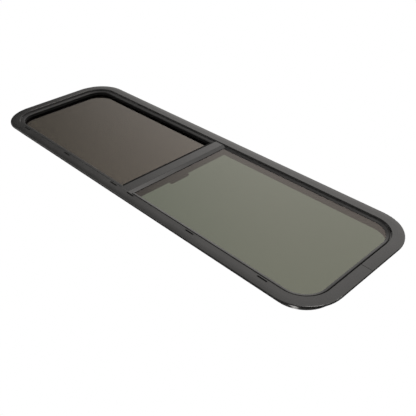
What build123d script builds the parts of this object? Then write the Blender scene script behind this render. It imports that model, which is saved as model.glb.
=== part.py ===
"""Half-slider window for a caravan wall.

One bent aluminium extrusion carries a fixed pane on the right and a sliding sash on the left,
seen from outside. An insect screen stands behind the sash.

Frame: X runs along the window, Z is up, the outside is -Y. The origin is at the centre of the
window, in the plane where the flange lies on the wall.
"""
import os

from build123d import *

# Overall size, over the flange
WIDTH = 1000.0
HEIGHT = 324.5
CORNER_RADIUS = 78.0

# Flange, measured inwards from its outer edge, and down from its outside face
FLANGE_WIDTH = 23.0
FLANGE_PLATE = 2.3
FLANGE_RIM = 4.0
RIM_WALL = 3.0
EDGE_HEIGHT = 2.1
NOSE_WIDTH = 1.4
NOSE_DROP = 0.6
CROWN_START = 12.0
INNER_ROUND = 0.6

# Body of the extrusion, which goes through the wall
WALL_OVERLAP = 16.0
CHAMBER_DEPTH = 24.0
CHAMBER_WALL = 1.6
WEB = 2.2
STEP_WIDTH = 0.8
TRACK_LEG = 1.4
LEG_REACH = 6.2
INNER_LIP = 1.2

# Glass and what holds it
GLASS = 4.0
FIXED_FACE = 5.4
SEAT = 0.2
GASKET_WALL = 3.0
GASKET_BACK = 0.6
GROOVE_DEPTH = 5.0
GROOVE_FLOOR = 2.0
RIDGE_INSET = 2.8
PANE_RIDGE_DEPTH = 2.8
SASH_RIDGE_DEPTH = 3.4
SASH_RIDGE_FALL = 0.6
LIP_BEND = 1.5
LIP_REACH = 8.8
LIP_EDGE = 0.5
SASH_LIP_REACH = 10.0
SASH_LIP_DEPTH = 5.6
WIPER_WALL = 1.8

# Sash run channel
RUN_LIP = 1.5
RUN_WEB = 1.3
RUN_GAP = 0.3
RUN_END = 4.0
STOP_LENGTH = 14.0
STOP_INSET = 6.0
STOP_REACH = 1.0

# Meeting stile of the sash
STILE_WIDTH = 20.0
STILE_RIGHT = 28.0
STILE_WALL = 1.4
STILE_GROOVE = 13.0
STILE_GAP = 0.1
STILE_END_GAP = 1.0
STILE_ROUND = 0.8

# Latch on the room side of the stile
LATCH_LENGTH = 52.0
LATCH_WIDTH = 21.0
LATCH_RIGHT = 34.0
LATCH_HEIGHT = -15.0
LATCH_PLATE = 1.6
LATCH_BODY = 2.6
LATCH_MARGIN = 3.0
LATCH_ROUND = 5.0
LEVER_LENGTH = 26.0
LEVER_WIDTH = 9.0
LEVER_RISE = 1.5
LEVER_RIDGE = 1.2
LEVER_RIDGES = 5

# Centre mullion
MULLION_LEFT = -13.5
MULLION_BOX = 15.5
MULLION_FACE = 23.5
MULLION_DEPTH = 2.0
MULLION_WALL = 1.6
MULLION_LEDGE = 10.0
MULLION_ROUND = 0.8
PANE_ENTRY = 4.0
BEAD_REACH = 10.4
BEAD_EDGE = 0.9
BEAD_GAP = 0.2
FIN_WIDTH = 6.4
FIN_TOP = 0.7
FIN_WALL = 1.4
FIN_ROOT = 4.0
PILE_INSET = 4.0
PILE_WIDTH = 6.0

# Insect screen
SCREEN_GAP = 0.2
SCREEN_DEPTH = 3.4
SCREEN_FACE = 7.5
SCREEN_LEDGE = 4.2
SCREEN_LEDGE_DEPTH = 1.6
SCREEN_RIGHT = -6.0
MESH = 0.3
SPLINE_WIDTH = 2.2
SPLINE_DEPTH = 1.5

# Drain slots and the butt joint of the extrusion
SLOT_LENGTH = 22.0
SLOT_WIDTH = 3.0
SLOT_INSET = 19.0
SLOT_MIDDLE = -4.0
SLOT_FIRST = 28.5
SLOT_PITCH = 179.0
SLOTS_A_SIDE = 3
JOINT_HEIGHT = 2.5
JOINT_WIDTH = 0.5
JOINT_DEPTH = 0.6

# Sealing strip behind the flange
STRIP_GAP = 0.2

# Depths below the outside face, each worked out from the one before
FIXED_BACK = FIXED_FACE + GLASS
LEG_ONE = FIXED_BACK + GASKET_BACK
SASH_TRACK = LEG_ONE + TRACK_LEG
SASH_FACE = SASH_TRACK + RUN_LIP + RUN_GAP
SASH_BACK = SASH_FACE + GLASS
LEG_TWO = SASH_BACK + RUN_GAP + RUN_LIP
SCREEN_TRACK = LEG_TWO + TRACK_LEG
SCREEN_FRONT = SCREEN_TRACK + SCREEN_GAP
SCREEN_BACK = SCREEN_FRONT + SCREEN_DEPTH
LEG_THREE = SCREEN_BACK + SCREEN_GAP
BODY_DEPTH = LEG_THREE + INNER_LIP

# Distances in from the flange's outer edge
TRACK_FLOOR = FLANGE_WIDTH + STEP_WIDTH
WEB_OUTSIDE = TRACK_FLOOR - WEB
LEG_EDGE = TRACK_FLOOR + LEG_REACH
GASKET_OUTSIDE = TRACK_FLOOR + SEAT
PANE_EDGE = GASKET_OUTSIDE + GASKET_WALL + SEAT
LIP_EDGE_IN = GASKET_OUTSIDE + LIP_REACH
SASH_LIP_IN = GASKET_OUTSIDE + SASH_LIP_REACH
RUN_OUTSIDE = TRACK_FLOOR + SEAT
SASH_EDGE = RUN_OUTSIDE + RUN_WEB + RUN_GAP
SCREEN_OUTSIDE = TRACK_FLOOR + SCREEN_GAP
SCREEN_STEP = SCREEN_OUTSIDE + SCREEN_FACE
SCREEN_INSIDE = SCREEN_STEP + SCREEN_LEDGE

# Places along the window
CORNER_X = WIDTH / 2 - CORNER_RADIUS
CORNER_Z = HEIGHT / 2 - CORNER_RADIUS
MULLION_BOX_RIGHT = MULLION_LEFT + MULLION_BOX
MULLION_RIGHT = MULLION_LEFT + MULLION_FACE
BEAD_RIGHT = MULLION_RIGHT + BEAD_REACH
PANE_LEFT = MULLION_RIGHT - PANE_ENTRY
STILE_LEFT = STILE_RIGHT - STILE_WIDTH
SASH_RIGHT = STILE_LEFT + STILE_GROOVE
POST_HALF = HEIGHT / 2 - GASKET_OUTSIDE
LEG_HALF = HEIGHT / 2 - LEG_EDGE - SEAT
STILE_HALF = HEIGHT / 2 - LEG_EDGE - STILE_END_GAP

os.makedirs("parts", exist_ok=True)


def facing(depth):
    """Plane parallel to the glass, at a depth below the outside face."""
    return Plane.XZ.offset(FLANGE_RIM - depth)


def across_post(height):
    """Level plane for the sections of upright posts: X along the window, Y in depth."""
    return Plane((0, -FLANGE_RIM, height), x_dir=(1, 0, 0), z_dir=(0, 0, 1))


def half_run(section, start_x):
    """Bend a section: along the top rail from start_x, round a corner, down to mid-height."""
    rail_start = Plane((start_x, -FLANGE_RIM, HEIGHT / 2), x_dir=(0, 0, -1), z_dir=(1, 0, 0))
    rail_end = Plane((CORNER_X, -FLANGE_RIM, HEIGHT / 2), x_dir=(0, 0, -1), z_dir=(1, 0, 0))
    jamb_start = Plane((WIDTH / 2, -FLANGE_RIM, CORNER_Z), x_dir=(-1, 0, 0), z_dir=(0, 0, -1))
    extrude(section(rail_start), amount=CORNER_X - start_x)
    revolve(section(rail_end), axis=Axis((CORNER_X, 0, CORNER_Z), (0, 1, 0)), revolution_arc=90)
    extrude(section(jamb_start), amount=CORNER_Z)


def polygon_section(plane, points):
    """Closed straight-sided section, as inset and depth pairs."""
    with BuildSketch(plane) as profile:
        with BuildLine():
            Polyline(*points, close=True)
        make_face()
    return profile.sketch


def frame_section(plane):
    """Flange with a crowned face, drain chamber, web and three track legs."""
    with BuildSketch(plane) as profile:
        with BuildLine():
            Line((0, FLANGE_RIM), (0, EDGE_HEIGHT))
            TangentArc((0, EDGE_HEIGHT), (NOSE_WIDTH, NOSE_DROP), tangent=(0, -1))
            TangentArc((CROWN_START, 0), (NOSE_WIDTH, NOSE_DROP), tangent=(-1, 0))
            Line((CROWN_START, 0), (FLANGE_WIDTH - INNER_ROUND, 0))
            TangentArc((FLANGE_WIDTH - INNER_ROUND, 0), (FLANGE_WIDTH, INNER_ROUND), tangent=(1, 0))
            Polyline(
                (FLANGE_WIDTH, INNER_ROUND),
                (FLANGE_WIDTH, GROOVE_DEPTH),
                (TRACK_FLOOR, GROOVE_DEPTH),
                (TRACK_FLOOR, LEG_ONE),
                (LEG_EDGE, LEG_ONE),
                (LEG_EDGE, SASH_TRACK),
                (TRACK_FLOOR, SASH_TRACK),
                (TRACK_FLOOR, LEG_TWO),
                (LEG_EDGE, LEG_TWO),
                (LEG_EDGE, SCREEN_TRACK),
                (TRACK_FLOOR, SCREEN_TRACK),
                (TRACK_FLOOR, LEG_THREE),
                (LEG_EDGE, LEG_THREE),
                (LEG_EDGE, BODY_DEPTH),
                (WEB_OUTSIDE, BODY_DEPTH),
                (WEB_OUTSIDE, CHAMBER_DEPTH),
                (WALL_OVERLAP, CHAMBER_DEPTH),
                (WALL_OVERLAP, FLANGE_PLATE),
                (RIM_WALL, FLANGE_PLATE),
                (RIM_WALL, FLANGE_RIM),
                (0, FLANGE_RIM),
            )
        make_face()
        with BuildLine():
            Polyline(
                (WALL_OVERLAP + CHAMBER_WALL, FLANGE_PLATE),
                (WEB_OUTSIDE, FLANGE_PLATE),
                (WEB_OUTSIDE, CHAMBER_DEPTH - CHAMBER_WALL),
                (WALL_OVERLAP + CHAMBER_WALL, CHAMBER_DEPTH - CHAMBER_WALL),
                close=True,
            )
        make_face(mode=Mode.SUBTRACT)
    return profile.sketch


def strip_section(plane):
    """Flat sealing strip, level with the rim that stands round it."""
    outside = RIM_WALL + STRIP_GAP
    inside = WALL_OVERLAP - STRIP_GAP
    points = [
        (outside, FLANGE_PLATE),
        (inside, FLANGE_PLATE),
        (inside, FLANGE_RIM),
        (outside, FLANGE_RIM),
    ]
    return polygon_section(plane, points)


def groove_points(ridge_depth):
    """Outside of a rubber lip: a groove beside the flange, up to the ridge where the lip starts."""
    return [
        (GASKET_OUTSIDE, GROOVE_DEPTH),
        (GASKET_OUTSIDE + GROOVE_FLOOR, GROOVE_DEPTH),
        (GASKET_OUTSIDE + RIDGE_INSET, ridge_depth),
    ]


def gasket_section(plane):
    """Rubber channel round the edge of the fixed pane, with a sloping lip outside."""
    points = groove_points(PANE_RIDGE_DEPTH) + [
        (LIP_EDGE_IN, FIXED_FACE - LIP_EDGE),
        (LIP_EDGE_IN, FIXED_FACE),
        (PANE_EDGE - SEAT, FIXED_FACE),
        (PANE_EDGE - SEAT, FIXED_BACK),
        (LEG_EDGE, FIXED_BACK),
        (LEG_EDGE, LEG_ONE),
        (GASKET_OUTSIDE, LEG_ONE),
    ]
    return polygon_section(plane, points)


def sash_bead_section(plane):
    """Flatter lip over the sash, with a wiper down to the sliding glass."""
    wiper_end = SASH_FACE - RUN_GAP
    points = groove_points(SASH_RIDGE_DEPTH) + [
        (SASH_LIP_IN - LIP_BEND, SASH_RIDGE_DEPTH + SASH_RIDGE_FALL),
        (SASH_LIP_IN, SASH_LIP_DEPTH),
        (SASH_LIP_IN, wiper_end),
        (SASH_LIP_IN - WIPER_WALL, wiper_end),
        (LEG_EDGE + SEAT, LEG_ONE),
        (GASKET_OUTSIDE, LEG_ONE),
    ]
    return polygon_section(plane, points)


def run_section(plane):
    """Flocked channel that the edge of the sash runs in."""
    points = [
        (RUN_OUTSIDE, SASH_TRACK),
        (LEG_EDGE, SASH_TRACK),
        (LEG_EDGE, SASH_TRACK + RUN_LIP),
        (RUN_OUTSIDE + RUN_WEB, SASH_TRACK + RUN_LIP),
        (RUN_OUTSIDE + RUN_WEB, LEG_TWO - RUN_LIP),
        (LEG_EDGE, LEG_TWO - RUN_LIP),
        (LEG_EDGE, LEG_TWO),
        (RUN_OUTSIDE, LEG_TWO),
    ]
    return polygon_section(plane, points)


def screen_frame_section(plane):
    """Flat screen rail with a rebate for the mesh and its cord on the room side."""
    rebate = SCREEN_FRONT + SCREEN_LEDGE_DEPTH
    points = [
        (SCREEN_OUTSIDE, SCREEN_FRONT),
        (SCREEN_INSIDE, SCREEN_FRONT),
        (SCREEN_INSIDE, rebate),
        (SCREEN_STEP, rebate),
        (SCREEN_STEP, SCREEN_BACK),
        (SCREEN_OUTSIDE, SCREEN_BACK),
    ]
    return polygon_section(plane, points)


def spline_section(plane):
    """Cord that holds the mesh down in the rebate."""
    outside = SCREEN_STEP + SEAT
    top = SCREEN_FRONT + SCREEN_LEDGE_DEPTH + MESH
    points = [
        (outside, top),
        (outside + SPLINE_WIDTH, top),
        (outside + SPLINE_WIDTH, top + SPLINE_DEPTH),
        (outside, top + SPLINE_DEPTH),
    ]
    return polygon_section(plane, points)


def pane_outline(plane, inset, left, right):
    """Rounded pane outline at an inset from the flange's edge, kept between two uprights."""
    with BuildSketch(plane) as outline:
        RectangleRounded(WIDTH - 2 * inset, HEIGHT - 2 * inset, CORNER_RADIUS - inset)
        with Locations(((left + right) / 2, 0)):
            Rectangle(right - left, HEIGHT, mode=Mode.INTERSECT)
    return outline.sketch


# Outer frame: one bent extrusion, with drain slots below and a butt joint at the right
with BuildPart() as outer_frame:
    half_run(frame_section, 0)
    mirror(about=Plane.YZ)
    mirror(about=Plane.XY)
    slot_places = [SLOT_FIRST + step * SLOT_PITCH for step in range(SLOTS_A_SIDE)]
    with BuildSketch(facing(0)) as slots:
        for side in (-1, 1):
            slot_row = [(SLOT_MIDDLE + side * place, SLOT_INSET - HEIGHT / 2) for place in slot_places]
            with Locations(slot_row):
                SlotOverall(SLOT_LENGTH, SLOT_WIDTH)
    extrude(amount=-FLANGE_PLATE, mode=Mode.SUBTRACT)
    with BuildSketch(facing(0)) as joint_line:
        with Locations((WIDTH / 2 - FLANGE_WIDTH / 2, JOINT_HEIGHT)):
            Rectangle(FLANGE_WIDTH, JOINT_WIDTH)
    extrude(amount=-JOINT_DEPTH, mode=Mode.SUBTRACT)
outer_frame.part.label = "outer_frame"

# Sealing strip behind the flange
with BuildPart() as flange_strip:
    half_run(strip_section, 0)
    mirror(about=Plane.YZ)
    mirror(about=Plane.XY)
flange_strip.part.label = "flange_strip"

# Fixed pane and its rubber channel
with BuildPart() as fixed_pane:
    pane_face = pane_outline(facing(FIXED_FACE), PANE_EDGE, PANE_LEFT, WIDTH / 2)
    extrude(pane_face, amount=-GLASS)
fixed_pane.part.label = "fixed_pane"

with BuildPart() as fixed_pane_gasket:
    half_run(gasket_section, BEAD_RIGHT + BEAD_GAP)
    mirror(about=Plane.XY)
fixed_pane_gasket.part.label = "fixed_pane_gasket"

# Rubber bead over the sash: made on the right, then mirrored to the left
with BuildPart() as sash_bead:
    half_run(sash_bead_section, -MULLION_LEFT + BEAD_GAP)
    mirror(about=Plane.XY)
    mirror(about=Plane.YZ, mode=Mode.REPLACE)
sash_bead.part.label = "sash_bead"

# Run channel of the sash, round the left jamb and along both rails
with BuildPart() as sash_run_channel:
    half_run(run_section, RUN_END - CORNER_X)
    mirror(about=Plane.XY)
    mirror(about=Plane.YZ, mode=Mode.REPLACE)
sash_run_channel.part.label = "sash_run_channel"

# Rubber stops in the run channel, at the end of the sash's travel
def sash_stop(side):
    """Block between the lips of the run channel, in the bottom rail or the top one."""
    outside = RUN_OUTSIDE + RUN_WEB
    height = LEG_EDGE + STOP_REACH - outside
    stop_x = CORNER_X - RUN_END - STOP_INSET - STOP_LENGTH / 2
    with BuildPart() as stop:
        with BuildSketch(facing(SASH_TRACK + RUN_LIP + SEAT)):
            with Locations((stop_x, side * (HEIGHT / 2 - outside - height / 2))):
                Rectangle(STOP_LENGTH, height)
        extrude(amount=-(LEG_TWO - SASH_TRACK - 2 * RUN_LIP - 2 * SEAT))
    return stop


sash_stop_top = sash_stop(1)
sash_stop_top.part.label = "sash_stop_top"
sash_stop_bottom = sash_stop(-1)
sash_stop_bottom.part.label = "sash_stop_bottom"

# Sliding pane
with BuildPart() as sash_pane:
    sash_face = pane_outline(facing(SASH_FACE), SASH_EDGE, -WIDTH / 2, SASH_RIGHT)
    extrude(sash_face, amount=-GLASS)
sash_pane.part.label = "sash_pane"

# Meeting stile: a channel on the free edge of the sash
with BuildPart() as sash_stile:
    groove = GLASS + 2 * STILE_GAP
    stile_front = SASH_FACE - STILE_GAP - STILE_WALL
    stile_back = SASH_BACK + STILE_GAP + STILE_WALL
    stile_middle = (stile_front + stile_back) / 2
    with BuildSketch(across_post(-STILE_HALF)) as stile_profile:
        with Locations((STILE_RIGHT - STILE_WIDTH / 2, stile_middle)):
            RectangleRounded(STILE_WIDTH, stile_back - stile_front, STILE_ROUND)
        with Locations((STILE_LEFT + STILE_GROOVE / 2, stile_middle)):
            Rectangle(STILE_GROOVE + STILE_GAP * 2, groove, mode=Mode.SUBTRACT)
    extrude(amount=2 * STILE_HALF)
sash_stile.part.label = "sash_stile"

# Latch: base plate, domed body and ribbed finger lever on the room side of the stile
LATCH_X = LATCH_RIGHT - LATCH_WIDTH / 2
LATCH_BODY_FACE = stile_back + LATCH_PLATE
LEVER_FACE = LATCH_BODY_FACE + LATCH_BODY

with BuildPart() as latch_plate:
    with BuildSketch(facing(stile_back)):
        with Locations((LATCH_X, LATCH_HEIGHT)):
            RectangleRounded(LATCH_WIDTH, LATCH_LENGTH, LATCH_ROUND)
    extrude(amount=-LATCH_PLATE)
latch_plate.part.label = "latch_plate"

with BuildPart() as latch_body:
    with BuildSketch(facing(LATCH_BODY_FACE)):
        with Locations((LATCH_X, LATCH_HEIGHT)):
            RectangleRounded(
                LATCH_WIDTH - LATCH_MARGIN, LATCH_LENGTH - LATCH_MARGIN, LATCH_ROUND - LATCH_MARGIN / 2
            )
    extrude(amount=-LATCH_BODY)
    fillet(latch_body.faces().sort_by(Axis.Y)[-1].edges(), LATCH_BODY / 2)
latch_body.part.label = "latch_body"

with BuildPart() as latch_lever:
    with BuildSketch(facing(LEVER_FACE)):
        with Locations((LATCH_X, LATCH_HEIGHT)):
            SlotOverall(LEVER_LENGTH, LEVER_WIDTH, rotation=90)
    extrude(amount=-LEVER_RISE)
    with BuildSketch(facing(LEVER_FACE + LEVER_RISE)):
        with Locations((LATCH_X, LATCH_HEIGHT)):
            with GridLocations(0, 2 * LEVER_RIDGE, 1, LEVER_RIDGES):
                Rectangle(LEVER_WIDTH / 2, LEVER_RIDGE)
    extrude(amount=LEVER_RISE / 2, mode=Mode.SUBTRACT)
latch_lever.part.label = "latch_lever"

# Centre mullion: hollow post with a face that laps over the fixed pane and a ledge behind it
with BuildPart() as centre_mullion:
    ledge_back = FIXED_BACK + SEAT + TRACK_LEG
    box_middle = (MULLION_DEPTH + ledge_back) / 2
    box_height = ledge_back - MULLION_DEPTH
    with BuildSketch(across_post(-POST_HALF)) as mullion_profile:
        with Locations((MULLION_LEFT + MULLION_BOX / 2, box_middle)):
            Rectangle(MULLION_BOX, box_height)
            Rectangle(
                MULLION_BOX - 2 * MULLION_WALL, box_height - 2 * MULLION_WALL, mode=Mode.SUBTRACT
            )
        with Locations((MULLION_LEFT + MULLION_FACE / 2, MULLION_DEPTH + MULLION_WALL / 2)):
            Rectangle(MULLION_FACE, MULLION_WALL)
        with Locations((MULLION_BOX_RIGHT + MULLION_LEDGE / 2, ledge_back - TRACK_LEG / 2)):
            Rectangle(MULLION_LEDGE, TRACK_LEG)
        fillet(mullion_profile.vertices().group_by(Axis.Y)[0].sort_by(Axis.X)[0], MULLION_ROUND)
    extrude(amount=2 * POST_HALF)
    for end in (-1, 1):
        with BuildSketch(facing(LEG_ONE)):
            with Locations((0, end * (LEG_HALF + POST_HALF) / 2)):
                Rectangle(2 * MULLION_FACE, POST_HALF - LEG_HALF)
        extrude(amount=-TRACK_LEG, mode=Mode.SUBTRACT)
centre_mullion.part.label = "centre_mullion"

# Sloping bead between the mullion's face and the fixed pane
with BuildPart() as mullion_bead:
    bead_top = MULLION_DEPTH + BEAD_GAP
    bead_root = MULLION_DEPTH + MULLION_WALL + BEAD_GAP
    bead_points = [
        (MULLION_RIGHT + BEAD_GAP, bead_top),
        (BEAD_RIGHT, FIXED_FACE - BEAD_EDGE),
        (BEAD_RIGHT, FIXED_FACE),
        (MULLION_BOX_RIGHT + BEAD_GAP, FIXED_FACE),
        (MULLION_BOX_RIGHT + BEAD_GAP, bead_root),
        (MULLION_RIGHT + BEAD_GAP, bead_root),
    ]
    extrude(polygon_section(across_post(-POST_HALF), bead_points), amount=2 * POST_HALF)
mullion_bead.part.label = "mullion_bead"

# Rubber fin on the mullion's left side, wiping the sash
LIP_HALF = HEIGHT / 2 - SASH_LIP_IN - SEAT
with BuildPart() as mullion_fin:
    fin_side = MULLION_LEFT - BEAD_GAP
    fin_tip = SASH_FACE - RUN_GAP
    fin_points = [
        (fin_side, MULLION_DEPTH + FIN_TOP),
        (fin_side - FIN_WIDTH, MULLION_DEPTH + 2 * FIN_TOP),
        (fin_side - FIN_WIDTH - FIN_WALL, fin_tip),
        (fin_side - FIN_WIDTH, fin_tip),
        (fin_side - FIN_WIDTH + FIN_WALL, MULLION_DEPTH + FIN_ROOT),
        (fin_side, MULLION_DEPTH + FIN_ROOT),
    ]
    extrude(polygon_section(across_post(-LIP_HALF), fin_points), amount=2 * LIP_HALF)
mullion_fin.part.label = "mullion_fin"

# Pile strip between the mullion's back and the sash
with BuildPart() as mullion_pile:
    pile_height = SASH_FACE - RUN_GAP - ledge_back
    with BuildSketch(across_post(-LEG_HALF)):
        with Locations((MULLION_LEFT + PILE_INSET + PILE_WIDTH / 2, ledge_back + pile_height / 2)):
            Rectangle(PILE_WIDTH, pile_height)
    extrude(amount=2 * LEG_HALF)
mullion_pile.part.label = "mullion_pile"

# Insect screen behind the sash: bent rail, straight stile, mesh and cord
SCREEN_STILE = SCREEN_INSIDE - SCREEN_OUTSIDE
with BuildPart() as screen_rail:
    half_run(screen_frame_section, SCREEN_STILE - SCREEN_RIGHT)
    mirror(about=Plane.XY)
    mirror(about=Plane.YZ, mode=Mode.REPLACE)
screen_rail.part.label = "screen_rail"

with BuildPart() as screen_stile:
    stile_points = [
        (SCREEN_RIGHT, SCREEN_FRONT),
        (SCREEN_RIGHT - SCREEN_STILE, SCREEN_FRONT),
        (SCREEN_RIGHT - SCREEN_STILE, SCREEN_FRONT + SCREEN_LEDGE_DEPTH),
        (SCREEN_RIGHT - SCREEN_FACE, SCREEN_FRONT + SCREEN_LEDGE_DEPTH),
        (SCREEN_RIGHT - SCREEN_FACE, SCREEN_BACK),
        (SCREEN_RIGHT, SCREEN_BACK),
    ]
    screen_half = HEIGHT / 2 - SCREEN_OUTSIDE
    extrude(polygon_section(across_post(-screen_half), stile_points), amount=2 * screen_half)
screen_stile.part.label = "screen_stile"

MESH_RIGHT = SCREEN_RIGHT - SCREEN_FACE - SEAT
with BuildPart() as screen_mesh:
    mesh_depth = SCREEN_FRONT + SCREEN_LEDGE_DEPTH
    mesh_face = pane_outline(facing(mesh_depth), SCREEN_STEP + SEAT, -WIDTH / 2, MESH_RIGHT)
    extrude(mesh_face, amount=-MESH)
screen_mesh.part.label = "screen_mesh"

with BuildPart() as screen_cord:
    half_run(spline_section, -MESH_RIGHT)
    mirror(about=Plane.XY)
    mirror(about=Plane.YZ, mode=Mode.REPLACE)
    cord_half = HEIGHT / 2 - SCREEN_STEP - SEAT
    with BuildSketch(facing(mesh_depth + MESH)):
        with Locations((MESH_RIGHT - SPLINE_WIDTH / 2, 0)):
            Rectangle(SPLINE_WIDTH, 2 * cord_half)
    extrude(amount=-SPLINE_DEPTH)
screen_cord.part.label = "screen_cord"

PIECES = [
    outer_frame, flange_strip, fixed_pane, fixed_pane_gasket, sash_bead, sash_run_channel,
    sash_stop_top, sash_stop_bottom, sash_pane, sash_stile, latch_plate, latch_body, latch_lever,
    centre_mullion, mullion_bead, mullion_fin, mullion_pile, screen_rail, screen_stile,
    screen_mesh, screen_cord,
]
for piece in PIECES:
    export_step(piece.part, f"parts/{piece.part.label}.step")
    print(piece.part.label, round(piece.part.volume))
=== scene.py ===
# %% [markdown]
# # A half-slider caravan window
#
# This lesson dresses a window whose pieces are already modelled at their real size: a bent
# aluminium frame, a fixed tinted pane on the right, a sliding sash on the left with an insect
# screen behind it, and the rubber and pile that seal them. Those pieces stay as they are. The
# lesson adds a studio, a finish for every piece, the woven mesh and two small screws.

# %% Load the window
import math

import bpy
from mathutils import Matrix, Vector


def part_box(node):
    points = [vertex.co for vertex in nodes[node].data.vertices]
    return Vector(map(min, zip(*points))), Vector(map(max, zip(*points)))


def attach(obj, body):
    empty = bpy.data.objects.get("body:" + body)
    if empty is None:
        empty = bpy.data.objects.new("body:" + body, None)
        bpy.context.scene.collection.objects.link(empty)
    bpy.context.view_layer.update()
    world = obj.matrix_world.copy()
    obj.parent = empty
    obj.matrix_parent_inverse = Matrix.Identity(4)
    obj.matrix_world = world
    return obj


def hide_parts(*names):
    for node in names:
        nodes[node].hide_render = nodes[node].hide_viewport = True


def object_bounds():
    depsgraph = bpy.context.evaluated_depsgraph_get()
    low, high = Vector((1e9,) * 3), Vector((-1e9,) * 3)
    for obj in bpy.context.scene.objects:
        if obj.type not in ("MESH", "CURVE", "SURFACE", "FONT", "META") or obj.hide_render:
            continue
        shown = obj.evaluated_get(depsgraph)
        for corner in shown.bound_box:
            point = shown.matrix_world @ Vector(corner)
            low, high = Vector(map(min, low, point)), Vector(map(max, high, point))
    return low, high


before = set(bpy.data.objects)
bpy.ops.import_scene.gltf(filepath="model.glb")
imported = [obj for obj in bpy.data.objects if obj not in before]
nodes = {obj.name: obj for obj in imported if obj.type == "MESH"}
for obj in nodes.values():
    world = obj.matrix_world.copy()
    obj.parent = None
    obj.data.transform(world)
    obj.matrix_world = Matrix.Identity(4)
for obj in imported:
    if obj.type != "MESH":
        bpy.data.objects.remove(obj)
cad_low, cad_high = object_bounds()
print("pieces loaded:", len(nodes))
print("size in mm:", [round(1000 * side) for side in cad_high - cad_low])

# %% [markdown]
# ## The camera
#
# The window is looked at as if it lay on its back with the outside face up, from beyond its lower
# right corner. In the window's own frame, where it stands upright, that is a camera low, far to
# the right and in front. A Track To constraint could aim it, but such a constraint keeps its own
# idea of up, and here the horizon is turned, so plain angles are used.

# %% Place the camera
CAMERA_PLACE = (0.8343, -0.6399, -0.6836)
CAMERA_TURN = (143.830, -46.229, 1.509)
CAMERA_LENS = 49.10

bpy.ops.object.select_all(action="DESELECT")
camera_turn = [math.radians(turn) for turn in CAMERA_TURN]
bpy.ops.object.camera_add(location=CAMERA_PLACE, rotation=camera_turn)
camera = bpy.context.object
camera.data.lens = CAMERA_LENS
bpy.context.scene.camera = camera
print("camera distance:", round(camera.location.length, 3), "m")

# %% [markdown]
# ## The floor
#
# A pale floor takes the window's soft shadow. Dark glass and satin paint act like mirrors, and a
# white floor in them would hide their shape, so the floor gives its soft light to the window but
# is left out of the reflections. It is a wide disc, since the corners of a square would show on
# the horizon.

# %% A pale floor, well below the window
FLOOR_DROP = 1.0
FLOOR_RADIUS = 60.0
FLOOR_SIDES = 96
FLOOR_WHITE = (0.92, 0.92, 0.92, 1)
FLOOR_ROUGH = 1.0

floor_place = (0, 0, cad_low.z - FLOOR_DROP)
bpy.ops.mesh.primitive_circle_add(
    vertices=FLOOR_SIDES, radius=FLOOR_RADIUS, fill_type="NGON", location=floor_place
)
floor = bpy.context.object
floor.name = "studio_floor"
floor.visible_glossy = False
floor_paint = bpy.data.materials.new("studio_floor_paint")
floor_paint.use_nodes = True
floor_shader = floor_paint.node_tree.nodes["Principled BSDF"]
floor_shader.inputs["Base Color"].default_value = FLOOR_WHITE
floor_shader.inputs["Roughness"].default_value = FLOOR_ROUGH
floor.data.materials.append(floor_paint)
print("floor at", round(floor.location.z, 3), "m")

# %% [markdown]
# ## The light
#
# A dark window is shown by what it reflects. Here that is a wide soft sky, bright on one side and
# dim on the other, and this slope is what shades the panes from corner to corner. It is dimmed
# behind the window, where a room would be, and on the far right, as a black card would do it, so
# that the rounded rim stays dark there. A weak fill from below opens the shadows. Area lamps could
# do the same, but their edges would show in the glass.

# %% Helpers that paint brightness into the sky
world = bpy.data.worlds.new("studio_sky")
bpy.context.scene.world = world
world.use_nodes = True
sky = world.node_tree
sky.nodes.clear()
direction = sky.nodes.new("ShaderNodeTexCoord")


def sky_band(way, start, end, low, high):
    """Brightness that eases from low to high across the sky, along a direction."""
    across = sky.nodes.new("ShaderNodeVectorMath")
    across.operation = "DOT_PRODUCT"
    across.inputs[1].default_value = way
    band = sky.nodes.new("ShaderNodeMapRange")
    band.interpolation_type = "SMOOTHSTEP"
    band.inputs["From Min"].default_value = start
    band.inputs["From Max"].default_value = end
    band.inputs["To Min"].default_value = low
    band.inputs["To Max"].default_value = high
    sky.links.new(direction.outputs["Generated"], across.inputs[0])
    sky.links.new(across.outputs["Value"], band.inputs["Value"])
    return band.outputs["Result"]


def sky_lamp(way, edge, core, gain):
    """Round soft lamp in the sky: full inside the core angle, gone outside the edge angle."""
    return sky_band(way, math.cos(math.radians(edge)), math.cos(math.radians(core)), 0.0, gain)


def sky_sum(operation, first, second):
    """Two brightness values put together."""
    both = sky.nodes.new("ShaderNodeMath")
    both.operation = operation
    sky.links.new(first, both.inputs[0])
    sky.links.new(second, both.inputs[1])
    return both.outputs["Value"]


# %% Paint the slope, dimmed behind the window and on its right, and a fill from below
SLOPE_WAY = (0.6, 0.0, 0.8)
SLOPE_SPAN = (-0.31, 0.26)
SLOPE_DIM = 0.05
SLOPE_BRIGHT = 1.5
ROOM_WAY = (0.0, 1.0, 0.0)
ROOM_SPAN = (-0.10, 0.25)
ROOM_DIM = 0.12
RIGHT_WAY = (1.0, 0.0, 0.0)
RIGHT_SPAN = (0.40, 0.62)
RIGHT_DIM = 0.06
FILL_WAY = (-0.25, -0.45, -0.86)
FILL_SPAN = (0.0, 0.8)
FILL_GAIN = 0.35

slope = sky_band(SLOPE_WAY, *SLOPE_SPAN, SLOPE_DIM, SLOPE_BRIGHT)
room = sky_band(ROOM_WAY, *ROOM_SPAN, 1.0, ROOM_DIM)
right = sky_band(RIGHT_WAY, *RIGHT_SPAN, 1.0, RIGHT_DIM)
fill = sky_band(FILL_WAY, *FILL_SPAN, 0.0, FILL_GAIN)
level = sky_sum("MULTIPLY", slope, sky_sum("MULTIPLY", room, right))
level = sky_sum("ADD", level, fill)
print("sky nodes for the slope:", len(sky.nodes))

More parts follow.
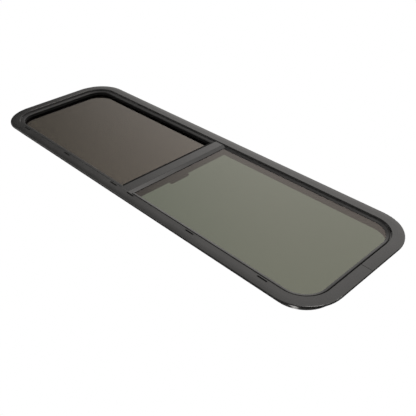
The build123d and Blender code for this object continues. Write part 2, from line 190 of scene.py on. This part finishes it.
# %% [markdown]
# Round lamps painted into the sky add the thin bright lines that a studio leaves along rounded
# edges. Each has a direction, an outer and an inner angle, and a strength. The first stands before
# the window and a little above it, and draws the line along the rim. The others are one low on the
# left, a small one low behind for the frame's wall at the near corner, a wide weak one for the
# frame's right side, and one high on the right for the lip at the far end of the sash.

# %% Add the round lamps
LAMPS = (
    ((0.07, -0.945, 0.32), 15.5, 9.0, 15.0),
    ((-0.75, -0.60, -0.28), 15.0, 9.0, 2.4),
    ((0.24, 0.685, -0.688), 9.0, 5.0, 8.0),
    ((1.0, 0.0, 0.0), 42.0, 30.0, 0.45),
    ((0.40, -0.81, 0.43), 13.0, 6.0, 2.0),
)

for way, edge, core, gain in LAMPS:
    level = sky_sum("ADD", level, sky_lamp(way, edge, core, gain))
print("lamps in the sky:", len(LAMPS))

# %% [markdown]
# The eye, looking past the window or through its glass, sees plain white, as on a product page.
# Two skies are mixed for that: the painted one lights the window, and the white one is only seen.

# %% Mix the painted sky with a plain white one
LIGHT_TINT = (1, 0.97, 0.94, 1)
PLAIN_WHITE = (1, 1, 1, 1)

lit = sky.nodes.new("ShaderNodeBackground")
lit.inputs["Color"].default_value = LIGHT_TINT
sky.links.new(level, lit.inputs["Strength"])
white = sky.nodes.new("ShaderNodeBackground")
white.inputs["Color"].default_value = PLAIN_WHITE
rays = sky.nodes.new("ShaderNodeLightPath")
seen = sky_sum("MAXIMUM", rays.outputs["Is Camera Ray"], rays.outputs["Is Transmission Ray"])
shown = sky.nodes.new("ShaderNodeMixShader")
sky.links.new(seen, shown.inputs["Fac"])
sky.links.new(lit.outputs["Background"], shown.inputs[1])
sky.links.new(white.outputs["Background"], shown.inputs[2])
out = sky.nodes.new("ShaderNodeOutputWorld")
sky.links.new(shown.outputs["Shader"], out.inputs["Surface"])
bpy.context.scene.view_settings.view_transform = "Standard"
print("sky nodes in all:", len(sky.nodes))

# %% [markdown]
# ## How a finish is made
#
# Every finish here has the same three parts: a tone that wanders a little, a gloss that is never
# quite even, and a relief at its real size. All three come from noise in object space, so a grain
# of one millimetre is one millimetre on every piece. Painted images could do it too, but they
# would need unwrapping and would blur up close.

# %% Start a finish and dress pieces with it
def start_finish(name):
    """New material, with its node tree, shader and object coordinates."""
    finish = bpy.data.materials.new(name)
    finish.use_nodes = True
    tree = finish.node_tree
    place = tree.nodes.new("ShaderNodeTexCoord")
    return finish, tree, tree.nodes["Principled BSDF"], place.outputs["Object"]


def dress(finish, *names):
    """Give a finish to pieces, in place of the plain one that they come with."""
    for name in names:
        nodes[name].data.materials.clear()
        nodes[name].data.materials.append(finish)
    print(finish.name, "on", ", ".join(names))


# %% Tone, gloss and relief from noise
NOISE_LOW = 0.35
NOISE_HIGH = 0.65


def add_noise(tree, place, scale, detail=2.0):
    """Noise with so many grains a metre; returns its value."""
    noise = tree.nodes.new("ShaderNodeTexNoise")
    noise.inputs["Scale"].default_value = scale
    noise.inputs["Detail"].default_value = detail
    tree.links.new(place, noise.inputs["Vector"])
    return noise.outputs["Fac"]


def tint_between(tree, shader, amount, dark, pale):
    """Grey that wanders between two close tones."""
    tones = tree.nodes.new("ShaderNodeValToRGB")
    tones.color_ramp.elements[0].position = NOISE_LOW
    tones.color_ramp.elements[1].position = NOISE_HIGH
    tones.color_ramp.elements[0].color = (dark, dark, dark, 1)
    tones.color_ramp.elements[1].color = (pale, pale, pale, 1)
    tree.links.new(amount, tones.inputs["Fac"])
    tree.links.new(tones.outputs["Color"], shader.inputs["Base Color"])


def vary_roughness(tree, shader, amount, low, high, start=0.0, end=1.0):
    """Roughness from low to high as a value goes from start to end."""
    spread = tree.nodes.new("ShaderNodeMapRange")
    spread.inputs["From Min"].default_value = start
    spread.inputs["From Max"].default_value = end
    spread.inputs["To Min"].default_value = low
    spread.inputs["To Max"].default_value = high
    tree.links.new(amount, spread.inputs["Value"])
    tree.links.new(spread.outputs["Result"], shader.inputs["Roughness"])


def raise_grain(tree, shader, amount, strength, distance):
    """Relief from a value, as high as distance in metres."""
    relief = tree.nodes.new("ShaderNodeBump")
    relief.inputs["Strength"].default_value = strength
    relief.inputs["Distance"].default_value = distance
    tree.links.new(amount, relief.inputs["Height"])
    tree.links.new(relief.outputs["Normal"], shader.inputs["Normal"])


# %% [markdown]
# ## Powder coat
#
# The frame, the sliding stile and the mullion are extruded aluminium with a satin black powder
# coat. Powder melts and flows in the oven, which leaves a soft orange peel about a millimetre and
# a half across. A coat layer over metal could show that, but paint this thick hides the metal
# altogether, so one plain dark layer is enough. The room side stands in shade, so its tone is
# painted a little paler, as painted light that lifts that shade. The helper for that reads the
# depth from object coordinates.

# %% Helpers that bring in a second tone
def blend_tone(tree, shader, amount, tone):
    """Blend the tone that a shader has with another grey, by an amount from 0 to 1."""
    blend = tree.nodes.new("ShaderNodeMixRGB")
    blend.inputs["Color2"].default_value = (tone, tone, tone, 1)
    tree.links.new(amount, blend.inputs["Fac"])
    tree.links.new(shader.inputs["Base Color"].links[0].from_socket, blend.inputs["Color1"])
    tree.links.new(blend.outputs["Color"], shader.inputs["Base Color"])


def paint_light_along(tree, shader, place, axis, tone, start, end):
    """Paint in a paler tone from one place to another, as painted light."""
    axes = tree.nodes.new("ShaderNodeSeparateXYZ")
    reach = tree.nodes.new("ShaderNodeMapRange")
    reach.inputs["From Min"].default_value = start
    reach.inputs["From Max"].default_value = end
    tree.links.new(place, axes.inputs["Vector"])
    tree.links.new(axes.outputs[axis], reach.inputs["Value"])
    blend_tone(tree, shader, reach.outputs["Result"], tone)


# %% Satin powder coat with orange peel
COAT_DARK = 0.008
COAT_PALE = 0.012
COAT_ROUGH = (0.15, 0.19)
COAT_SHINE = 0.46
PEEL = 700.0
PEEL_STRENGTH = 0.15
PEEL_HEIGHT = 0.00005
HANDLING = 14.0
HANDLING_DETAIL = 3.0
# Painted light: the room side gets a paler grey that lifts its shade.
ROOM_LIGHT_TONE = 0.05
ROOM_LIGHT_START = 0.012
ROOM_LIGHT_END = 0.020

frame_coat, tree, shader, place = start_finish("frame_coat_satin")
handled = add_noise(tree, place, HANDLING, HANDLING_DETAIL)
tint_between(tree, shader, handled, COAT_DARK, COAT_PALE)
# Painted light: a paler grey painted in on the room side, from one depth to another.
paint_light_along(tree, shader, place, "Y", ROOM_LIGHT_TONE, ROOM_LIGHT_START, ROOM_LIGHT_END)
vary_roughness(tree, shader, handled, *COAT_ROUGH)
raise_grain(tree, shader, add_noise(tree, place, PEEL), PEEL_STRENGTH, PEEL_HEIGHT)
shader.inputs["Specular IOR Level"].default_value = COAT_SHINE
dress(frame_coat, "outer_frame", "sash_stile", "centre_mullion")

# %% [markdown]
# The frame is one bar bent into a ring, and its two ends meet near the middle of the right rail. The
# solid already has that joint as a fine groove. Powder draws back from sharp edges, so the coat on
# both sides of the groove is thin and doesn't shine. The dull line is wanted only there, so it is the
# product of two tests: close to one height, and far to the right.

# %% A dull seam across the right rail
SEAM_HEIGHT = 0.0025
SEAM_WIDTH = 0.0010
SEAM_REACH = 0.45


def coat_math(operation, first, second):
    """Arithmetic in the coat's node tree, with a socket and a socket or a number."""
    result = tree.nodes.new("ShaderNodeMath")
    result.operation = operation
    tree.links.new(first, result.inputs[0])
    if isinstance(second, float):
        result.inputs[1].default_value = second
    else:
        tree.links.new(second, result.inputs[1])
    return result


axes = tree.nodes.new("ShaderNodeSeparateXYZ")
tree.links.new(place, axes.inputs["Vector"])
close = coat_math("COMPARE", axes.outputs["Z"], SEAM_HEIGHT)
close.inputs[2].default_value = SEAM_WIDTH / 2
far = coat_math("GREATER_THAN", axes.outputs["X"], SEAM_REACH)
seam = coat_math("MULTIPLY", close.outputs["Value"], far.outputs["Value"])
gloss = shader.inputs["Roughness"].links[0].from_socket
dulled = coat_math("MAXIMUM", seam.outputs["Value"], gloss)
tree.links.new(dulled.outputs["Value"], shader.inputs["Roughness"])
print("seam:", 1000 * SEAM_WIDTH, "mm wide")

# %% [markdown]
# The groove's outer wall, between the flange and the seals, gets a paler grey painted on: painted
# light that stands for the light reaching into the groove. That wall follows the rounded outline,
# so it is found by its distance from the points that the corners are bent round. The place is folded
# into one quarter of the window and the middle of the bend is taken away. What is left over is as
# long as the bend's radius at the outer edge of the frame, and shorter further in. The value for Y
# is larger than any depth, so depth drops out.

# %% Painted light on the wall of the groove
# Grey of the painted light on the groove's outer wall.
GROOVE_LIGHT_TONE = 0.042
BEND_RADIUS = 0.078
WALL_INSET = 0.0235
WALL_SLACK = 0.0010
WALL_DEPTH = -0.0013
WALL_REACH = 0.0023
PAST_DEPTH = 1.0


def coat_vector(operation, first, second=(0.0, 0.0, 0.0)):
    """Vector arithmetic in the coat's node tree."""
    result = tree.nodes.new("ShaderNodeVectorMath")
    result.operation = operation
    result.inputs[1].default_value = second
    tree.links.new(first, result.inputs[0])
    return result


bend_middle = (cad_high.x - BEND_RADIUS, PAST_DEPTH, cad_high.z - BEND_RADIUS)
folded = coat_vector("ABSOLUTE", place)
beyond = coat_vector("SUBTRACT", folded.outputs["Vector"], bend_middle)
outwards = coat_vector("MAXIMUM", beyond.outputs["Vector"])
radius = coat_vector("LENGTH", outwards.outputs["Vector"])
at_wall = coat_math("COMPARE", radius.outputs["Value"], BEND_RADIUS - WALL_INSET)
at_wall.inputs[2].default_value = WALL_SLACK
in_groove = coat_math("COMPARE", axes.outputs["Y"], WALL_DEPTH)
in_groove.inputs[2].default_value = WALL_REACH
groove_lit = coat_math("MULTIPLY", at_wall.outputs["Value"], in_groove.outputs["Value"])
# Painted light: the paler grey goes onto the groove's outer wall only.
blend_tone(tree, shader, groove_lit.outputs["Value"], GROOVE_LIGHT_TONE)
print("dust from", 1000 * (WALL_DEPTH - WALL_REACH), "to", 1000 * (WALL_DEPTH + WALL_REACH), "mm")

# %% [markdown]
# ## Rubber
#
# The gasket, the stops and the cord are black extruded rubber. It comes out of the die slightly
# matte, with a very fine grain and a faint bloom that wanders over it. Rubber reflects less than
# paint, so its specular level is lower. The gasket's outer edge sits in the groove beside the
# flange, where dust makes it dead matte, so the gloss comes in with depth, at the lip.

# %% Extruded rubber
RUBBER_DARK = 0.006
RUBBER_PALE = 0.010
RUBBER_GRAIN = 1500.0
GRAIN_STRENGTH = 0.2
GRAIN_HEIGHT = 0.00005
RUBBER_SHINE = 0.36
GROOVE_ROUGH = 1.0
LIP_ROUGH = 0.3
GROOVE_END = -0.0008
LIP_START = -0.0006

rubber, tree, shader, place = start_finish("rubber_seal")
bloom = add_noise(tree, place, HANDLING, HANDLING_DETAIL)
tint_between(tree, shader, bloom, RUBBER_DARK, RUBBER_PALE)
axes = tree.nodes.new("ShaderNodeSeparateXYZ")
tree.links.new(place, axes.inputs["Vector"])
vary_roughness(tree, shader, axes.outputs["Y"], GROOVE_ROUGH, LIP_ROUGH, GROOVE_END, LIP_START)
raise_grain(tree, shader, add_noise(tree, place, RUBBER_GRAIN), GRAIN_STRENGTH, GRAIN_HEIGHT)
shader.inputs["Specular IOR Level"].default_value = RUBBER_SHINE
dress(rubber, "fixed_pane_gasket", "sash_stop_top", "sash_stop_bottom", "screen_cord")

# %% [markdown]
# The sloping bead beside the mullion is the same rubber with a smoother skin. Its lower end
# catches a highlight, which is painted in as a paler tone that grows downwards. A lamp could show
# that too, but it would also show in the frame beside it.

# %% Smooth rubber for the mullion's bead
# Grey and reach of the painted highlight at the bead's lower end.
BEAD_HIGHLIGHT_TONE = 0.040
BEAD_SHINE = 0.33
BEAD_ROUGH = (0.20, 0.24)
BEAD_HIGHLIGHT_START = -0.12
BEAD_HIGHLIGHT_END = 0.04

bead_rubber, tree, shader, place = start_finish("rubber_bead")
bloom = add_noise(tree, place, HANDLING, HANDLING_DETAIL)
tint_between(tree, shader, bloom, RUBBER_DARK, RUBBER_PALE)
# Painted highlight: the tone goes paler towards the bead's lower end.
paint_light_along(tree, shader, place, "Z", BEAD_HIGHLIGHT_TONE, BEAD_HIGHLIGHT_END, BEAD_HIGHLIGHT_START)
vary_roughness(tree, shader, bloom, *BEAD_ROUGH)
raise_grain(tree, shader, add_noise(tree, place, RUBBER_GRAIN), GRAIN_STRENGTH / 2, GRAIN_HEIGHT)
shader.inputs["Specular IOR Level"].default_value = BEAD_SHINE
dress(bead_rubber, "mullion_bead")

# %% [markdown]
# ## The wiper over the sash
#
# The lip round the sliding pane is rubber outside, but its side that rubs on the glass is flocked,
# so the recess looks black. One piece carries both. The gloss changes with depth: satin on the lip
# and dead matte below it. Two materials on one piece would need its faces sorted by hand.

# %% Satin lip that turns into flock
LIP_END = 0.0014
FLOCK_START = 0.0022
WIPER_TONES = (0.003, 0.005)
WIPER_ROUGH = (0.4, 1.0)
WIPER_SHINE = 0.32

wiper, tree, shader, place = start_finish("rubber_wiper")
tint_between(tree, shader, add_noise(tree, place, HANDLING, HANDLING_DETAIL), *WIPER_TONES)
axes = tree.nodes.new("ShaderNodeSeparateXYZ")
tree.links.new(place, axes.inputs["Vector"])
vary_roughness(tree, shader, axes.outputs["Y"], *WIPER_ROUGH, LIP_END, FLOCK_START)
raise_grain(tree, shader, add_noise(tree, place, RUBBER_GRAIN), GRAIN_STRENGTH, GRAIN_HEIGHT)
shader.inputs["Specular IOR Level"].default_value = WIPER_SHINE
dress(wiper, "sash_bead")

# %% [markdown]
# ## Flock and pile
#
# The run channel, the fin and the pile strip are covered with short upright fibres. From any
# distance they take the light and give almost none back. A hair system would show each fibre, but
# they are a third of a millimetre apart, so deep matte noise does the same work.

# %% Flocked fibre
FIBRES = 3000.0
FIBRE_LENGTH = 0.0003
FIBRE_STRENGTH = 0.8
FLOCK_TONES = (0.003, 0.006)
FLOCK_ROUGH = (0.9, 1.0)
FLOCK_SHINE = 0.1

flock, tree, shader, place = start_finish("flock_pile")
fibres = add_noise(tree, place, FIBRES)
tint_between(tree, shader, fibres, *FLOCK_TONES)
vary_roughness(tree, shader, fibres, *FLOCK_ROUGH)
raise_grain(tree, shader, fibres, FIBRE_STRENGTH, FIBRE_LENGTH)
shader.inputs["Specular IOR Level"].default_value = FLOCK_SHINE
dress(flock, "sash_run_channel", "mullion_fin", "mullion_pile")

# %% [markdown]
# ## Foam
#
# The sealing strip behind the flange is closed-cell foam. Its skin shows the tops of the cells,
# a little under a millimetre across, so a pattern of cells fits better than noise.

# %% Closed-cell foam
FOAM_CELLS = 1200.0
CELL_HEIGHT = 0.0003
CELL_STRENGTH = 0.6
FOAM_TONES = (0.03, 0.018)
FOAM_ROUGH = (0.9, 1.0)

foam, tree, shader, place = start_finish("foam_strip")
cells = tree.nodes.new("ShaderNodeTexVoronoi")
cells.inputs["Scale"].default_value = FOAM_CELLS
tree.links.new(place, cells.inputs["Vector"])
tint_between(tree, shader, cells.outputs["Distance"], *FOAM_TONES)
vary_roughness(tree, shader, cells.outputs["Distance"], *FOAM_ROUGH)
raise_grain(tree, shader, cells.outputs["Distance"], CELL_STRENGTH, CELL_HEIGHT)
dress(foam, "flange_strip")

# %% [markdown]
# ## Latch plastic
#
# The finger latch is moulded in a tool with a spark-eroded skin, which prints a fine even grain
# on the plastic. Fingers polish it in places, so the gloss wanders more than on the frame.

# %% Moulded plastic with a fine grain
LATCH_TONES = (0.022, 0.030)
LATCH_ROUGH = (0.36, 0.54)
FINGER_MARKS = 60.0
SPARK_GRAIN = 2200.0
SPARK_STRENGTH = 0.3

latch_plastic, tree, shader, place = start_finish("latch_plastic_grain")
touched = add_noise(tree, place, FINGER_MARKS, HANDLING_DETAIL)
tint_between(tree, shader, touched, *LATCH_TONES)
vary_roughness(tree, shader, touched, *LATCH_ROUGH)
raise_grain(tree, shader, add_noise(tree, place, SPARK_GRAIN), SPARK_STRENGTH, GRAIN_HEIGHT)
dress(latch_plastic, "latch_plate", "latch_body", "latch_lever")

# %% [markdown]
# ## Screen frame
#
# The screen's rails are thin and have a duller coat than the main frame, since nobody is meant to
# see them. The orange peel is finer because the coat is thinner.

# %% Thin dull coat for the screen
SCREEN_TONES = (0.018, 0.026)
SCREEN_ROUGH = (0.42, 0.5)
SCREEN_PEEL = 900.0
SCREEN_STRENGTH = 0.2

screen_coat, tree, shader, place = start_finish("screen_coat_satin")
handled = add_noise(tree, place, HANDLING, HANDLING_DETAIL)
tint_between(tree, shader, handled, *SCREEN_TONES)
vary_roughness(tree, shader, handled, *SCREEN_ROUGH)
raise_grain(tree, shader, add_noise(tree, place, SCREEN_PEEL), SCREEN_STRENGTH, PEEL_HEIGHT)
dress(screen_coat, "screen_rail", "screen_stile")

# %% [markdown]
# ## Tinted glass
#
# The panes are toughened glass with a grey-green tint that lets about a tenth of the light
# through. The tint is a plain colour on a fully transmitting shader, which keeps the true
# thickness and bending of light. A wiped film of dust dulls the shine here and there by a trace.

# %% Tinted glass for the fixed pane
GLASS_TINT = (0.098, 0.114, 0.083, 1)
GLASS_IOR = 1.52
SHINE_TINT = (1.0, 0.82, 0.72, 1)
FILM = 9.0
FILM_DETAIL = 4.0
FILM_ROUGH = (0.0, 0.02)

glass, tree, shader, place = start_finish("tinted_glass_pane")
shader.inputs["Base Color"].default_value = GLASS_TINT
shader.inputs["Transmission Weight"].default_value = 1.0
shader.inputs["IOR"].default_value = GLASS_IOR
shader.inputs["Specular Tint"].default_value = SHINE_TINT
vary_roughness(tree, shader, add_noise(tree, place, FILM, FILM_DETAIL), *FILM_ROUGH)
dress(glass, "fixed_pane")

# %% [markdown]
# The sash is seen against the mesh and the shade of the recess, which warms and darkens it. That
# shade is painted into the glass: the same glass with a browner tint gives that tone.

# %% Browner glass for the sash, with the recess's shade painted in
# Painted shade: the browner tint stands for the shade of the recess behind the sash.
SASH_SHADE_TINT = (0.10, 0.085, 0.062, 1)

sash_glass = glass.copy()
sash_glass.name = "tinted_glass_sash"
sash_shader = sash_glass.node_tree.nodes["Principled BSDF"]
sash_shader.inputs["Base Color"].default_value = SASH_SHADE_TINT
dress(sash_glass, "sash_pane")

# %% [markdown]
# ## The insect mesh
#
# The solid sheet in the screen stands in for a mesh of coated glass fibre, about twenty threads
# to the inch. The coating welds the threads where they cross, so straight threads that sink a
# little into each other are true to it. One thread is modelled and an array repeats it. An image
# with holes would be lighter, but it would be flat from close up.

# %% Lay straight threads side by side
THREAD_PITCH = 0.00125
THREAD_THICK = 0.00030
THREAD_SIDES = 5
THREAD_SHIFT = THREAD_THICK / 3

mesh_low, mesh_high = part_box("screen_mesh")
mesh_middle = (mesh_low + mesh_high) / 2
mesh_size = mesh_high - mesh_low


def weave(name, first, count, step, length, turned):
    """Straight threads: one cylinder, turned if it runs along, then repeated and put in place."""
    bpy.ops.object.select_all(action="DESELECT")
    bpy.ops.mesh.primitive_cylinder_add(vertices=THREAD_SIDES, radius=THREAD_THICK / 2, depth=length)
    thread = bpy.context.object
    thread.name = name
    rows = thread.modifiers.new("rows", "ARRAY")
    rows.count = count
    rows.use_relative_offset = False
    rows.use_constant_offset = True
    rows.constant_offset_displace = step
    bpy.ops.object.mode_set(mode="EDIT")
    bpy.ops.mesh.select_all(action="SELECT")
    if turned:
        bpy.ops.transform.rotate(value=math.pi / 2, orient_axis="Y", center_override=(0, 0, 0))
    bpy.ops.transform.translate(value=first)
    bpy.ops.object.mode_set(mode="OBJECT")
    bpy.ops.object.modifier_apply(modifier="rows")
    print(name, count, "threads")
    return thread


weft_first = (mesh_middle.x, mesh_middle.y - THREAD_SHIFT, mesh_low.z + THREAD_PITCH / 2)
weft_count = int(mesh_size.z / THREAD_PITCH)
weft = weave("screen_threads", weft_first, weft_count, (0, 0, THREAD_PITCH), mesh_size.x, True)
warp_first = (mesh_low.x + THREAD_PITCH / 2, mesh_middle.y + THREAD_SHIFT, mesh_middle.z)
warp_count = int(mesh_size.x / THREAD_PITCH)
warp = weave("screen_warp", warp_first, warp_count, (THREAD_PITCH, 0, 0), mesh_size.z, False)

# %% [markdown]
# The mesh is cut to the screen's rounded corners on the left, where the cord holds its edge. Each
# corner is trimmed by a fan of straight cuts, as a knife would follow the curve. The two sets of
# threads are trimmed one after the other, and joined only then. Cut together, the ends of threads
# that cross would lie in one plane, and the faces that close them would fold over each other. The
# cut's own slack is a tenth of a millimetre unless it is told otherwise, which is a third of a
# thread and closes some ends twice, so it is set far lower.

# %% Trim the two rounded corners
MESH_CORNER = 0.0463
CORNER_CUTS = 8
CUT_SLACK = 0.000001

corner_x = mesh_low.x + MESH_CORNER


def trim_corner(side):
    """Cut one corner of the threads in edit mode: side is 1 at the top and -1 at the bottom."""
    corner_z = mesh_middle.z + side * (mesh_size.z / 2 - MESH_CORNER)
    for cut in range(CORNER_CUTS):
        angle = math.radians(90 * (cut + 0.5) / CORNER_CUTS)
        way = (-math.cos(angle), 0, side * math.sin(angle))
        touch = (corner_x + MESH_CORNER * way[0], mesh_middle.y, corner_z + MESH_CORNER * way[2])
        bpy.ops.mesh.select_all(action="SELECT")
        bpy.ops.mesh.bisect(
            plane_co=touch, plane_no=way, use_fill=True, clear_outer=True, threshold=CUT_SLACK
        )


for thread_set in (weft, warp):
    bpy.ops.object.select_all(action="DESELECT")
    thread_set.select_set(True)
    bpy.context.view_layer.objects.active = thread_set
    bpy.ops.object.mode_set(mode="EDIT")
    trim_corner(-1)
    trim_corner(1)
    bpy.ops.object.mode_set(mode="OBJECT")
    print(thread_set.name, "trimmed:", len(thread_set.data.polygons), "faces")

# %% Join the two sets of threads
bpy.ops.object.select_all(action="DESELECT")
warp.select_set(True)
weft.select_set(True)
bpy.context.view_layer.objects.active = weft
bpy.ops.object.join()
threads = bpy.context.object
print("threads:", len(threads.data.polygons), "faces")

# %% Give the threads their finish
THREAD_FUZZ = 4000.0
THREAD_TONES = (0.006, 0.010)
THREAD_ROUGH = (0.42, 0.5)
FUZZ_STRENGTH = 0.2
FUZZ_HEIGHT = 0.00003

thread_coat, tree, shader, place = start_finish("screen_thread")
fuzz = add_noise(tree, place, THREAD_FUZZ)
tint_between(tree, shader, fuzz, *THREAD_TONES)
vary_roughness(tree, shader, fuzz, *THREAD_ROUGH)
raise_grain(tree, shader, fuzz, FUZZ_STRENGTH, FUZZ_HEIGHT)
threads.data.materials.append(thread_coat)
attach(threads, "root")
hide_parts("screen_mesh")

# %% [markdown]
# ## Latch screws
#
# Two small pan-head screws hold the latch to the stile, one at each end of its body. A disc is
# rounded over its outer rim and a cross is cut into it with two blocks. A new primitive is selected
# all over, so everything is deselected before the one face whose rim is rounded gets selected. The
# second screw is an array copy of the first.

# %% Set a disc on the latch for the first screw head
HEAD_RADIUS = 0.0025
HEAD_HEIGHT = 0.0014
HEAD_SIDES = 20
HEAD_SINK = 0.0001
SCREW_INSET = 0.0055

body_low, body_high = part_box("latch_body")
screw_x = (body_low.x + body_high.x) / 2
screw_y = body_high.y - HEAD_SINK + HEAD_HEIGHT / 2
screw_place = (screw_x, screw_y, body_low.z + SCREW_INSET)
screw_turn = (-math.pi / 2, 0, 0)
bpy.ops.object.select_all(action="DESELECT")
bpy.ops.mesh.primitive_cylinder_add(
    vertices=HEAD_SIDES,
    radius=HEAD_RADIUS,
    depth=HEAD_HEIGHT,
    location=screw_place,
    rotation=screw_turn,
)
bpy.ops.object.transform_apply(location=True, rotation=True, scale=True)
screws = bpy.context.object
screws.name = "latch_screws"
print("screw height on the window:", round(1000 * screw_place[2], 1), "mm")

# %% Round the rim of the head
HEAD_ROUNDS = 3
FACES_ROOM = 0.9

bpy.ops.object.mode_set(mode="EDIT")
bpy.ops.mesh.select_mode(type="FACE")
bpy.ops.mesh.select_all(action="DESELECT")
bpy.ops.object.mode_set(mode="OBJECT")
for face in screws.data.polygons:
    face.select = face.normal.y > FACES_ROOM
bpy.ops.object.mode_set(mode="EDIT")
bpy.ops.mesh.bevel(offset=HEAD_HEIGHT / 2, segments=HEAD_ROUNDS, affect="EDGES")
bpy.ops.object.mode_set(mode="OBJECT")
print("screw head:", len(screws.data.polygons), "faces")

# %% Cut the cross
CROSS_LENGTH = 0.0028
CROSS_WIDTH = 0.0006
CROSS_DEPTH = 0.0016

face_y = screw_y + HEAD_HEIGHT / 2
for arm in ((CROSS_LENGTH, CROSS_DEPTH, CROSS_WIDTH), (CROSS_WIDTH, CROSS_DEPTH, CROSS_LENGTH)):
    bpy.ops.object.select_all(action="DESELECT")
    bpy.ops.mesh.primitive_cube_add(size=1, location=(screw_x, face_y, screw_place[2]), scale=arm)
    block = bpy.context.object
    bpy.context.view_layer.objects.active = screws
    cross = screws.modifiers.new("cross", "BOOLEAN")
    cross.operation = "DIFFERENCE"
    cross.object = block
    bpy.ops.object.modifier_apply(modifier="cross")
    bpy.data.objects.remove(block)
print("screw head with its cross:", len(screws.data.polygons), "faces")

# %% Copy the screw to the other end
SMOOTH_ANGLE = 40.0

pair = screws.modifiers.new("pair", "ARRAY")
pair.count = 2
pair.use_relative_offset = False
pair.use_constant_offset = True
pair.constant_offset_displace = (0, 0, body_high.z - body_low.z - 2 * SCREW_INSET)
bpy.ops.object.modifier_apply(modifier="pair")
bpy.ops.object.select_all(action="DESELECT")
screws.select_set(True)
bpy.ops.object.shade_smooth_by_angle(angle=math.radians(SMOOTH_ANGLE))
screws.data.materials.append(frame_coat)
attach(screws, "root")
print("two screws:", len(screws.data.polygons), "faces")
